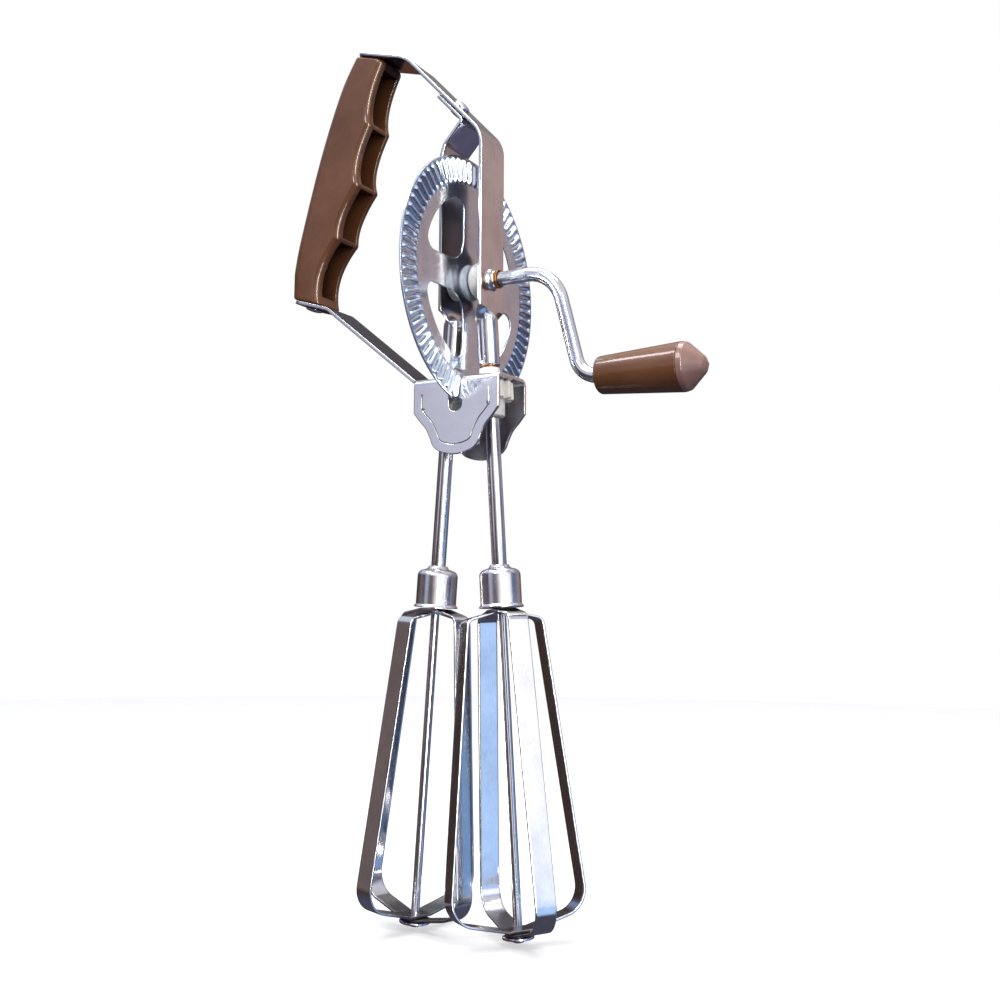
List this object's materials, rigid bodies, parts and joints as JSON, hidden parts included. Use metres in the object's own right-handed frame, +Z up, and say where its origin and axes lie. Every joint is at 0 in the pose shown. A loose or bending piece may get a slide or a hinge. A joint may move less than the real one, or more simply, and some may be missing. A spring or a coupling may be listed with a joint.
{
  "type": "rotary egg beater",
  "caption": "Hand-cranked rotary egg beater: a pressed face gear turns two nylon pinions and two crossed-band whisks under a hollow moulded hand grip",
  "frame": {"origin": "middle of the hand grip, on the plane of symmetry of the grip and strips", "axes": "+X towards the crank knob along the crank axle, +Y away from the viewer through the wheel's disc plane, +Z up from the whisks to the crown"},
  "size_m": [0.1541, 0.084, 0.2994],
  "materials": {
    "grip_plastic": "glossy brown moulded plastic, palest along worn edges",
    "knob_plastic": "glossy brown turned plastic with a parting seam",
    "bright_strip": "bright nickel-plated strip steel",
    "wheel_steel": "bright pressed sheet steel with a faint brushed grain",
    "rod_steel": "bright plated round bar",
    "cup_steel": "polished drawn cup",
    "blade_steel": "bright rolled band with pale cut edges",
    "rivet_steel": "satin fastener steel",
    "brass_washer": "amber brass, slightly tarnished",
    "nylon": "off-white moulded nylon",
    "grey_bush": "warm grey moulded bush"
  },
  "bodies": {
    "frame": {"hand_grip": "grip_plastic", "crown_strip": "bright_strip", "far_upright": "bright_strip", "yoke_strip": "bright_strip", "crown_rivet": "rivet_steel", "grip_top_rivet": "rivet_steel", "grip_heel_rivet": "rivet_steel", "crank_collar": "bright_strip", "sleeve_washer_right": "brass_washer", "sleeve_washer_left": "brass_washer", "plate_bush_right": "nylon", "plate_bush_left": "nylon"},
    "crank": {"crank_rod": "rod_steel", "drive_wheel": "wheel_steel", "wheel_bush": "grey_bush", "wheel_spacer": "grey_bush", "crank_washer": "brass_washer", "axle_end_washer": "rivet_steel"},
    "knob": {"crank_knob": "knob_plastic", "knob_cap": "knob_plastic"},
    "beater_right": {"spindle_right": "rod_steel", "pinion_right": "nylon", "shaft_tube_right": "rod_steel", "ferrule_right": "cup_steel", "outer_blades_right": "blade_steel", "inner_blades_right": "blade_steel", "blade_washer_right": "rivet_steel"},
    "beater_left": {"spindle_left": "rod_steel", "pinion_left": "nylon", "shaft_tube_left": "rod_steel", "ferrule_left": "cup_steel", "outer_blades_left": "blade_steel", "inner_blades_left": "blade_steel", "blade_washer_left": "rivet_steel"}
  },
  "joints": [
    {"name": "crank_spin", "type": "hinge", "parent": "frame", "child": "crank", "pos_m": [0.05046, 0, -0.04247], "axis": [1, 0, 0], "continuous": true},
    {"name": "knob_spin", "type": "hinge", "parent": "crank", "child": "knob", "pos_m": [0.11046, 0, -0.07827], "axis": [1, 0, 0], "continuous": true},
    {"name": "beater_right_spin", "type": "hinge", "parent": "frame", "child": "beater_right", "pos_m": [0.05586, 0, -0.04247], "axis": [-0.0659, 0, 0.9978], "continuous": true},
    {"name": "beater_left_spin", "type": "hinge", "parent": "frame", "child": "beater_left", "pos_m": [0.04506, 0, -0.04247], "axis": [0.0659, 0, 0.9978], "continuous": true}
  ],
  "couplings": [
    {"joint": "beater_right_spin", "follows": "crank_spin", "ratio": -6},
    {"joint": "beater_left_spin", "follows": "crank_spin", "ratio": 6}
  ]
}
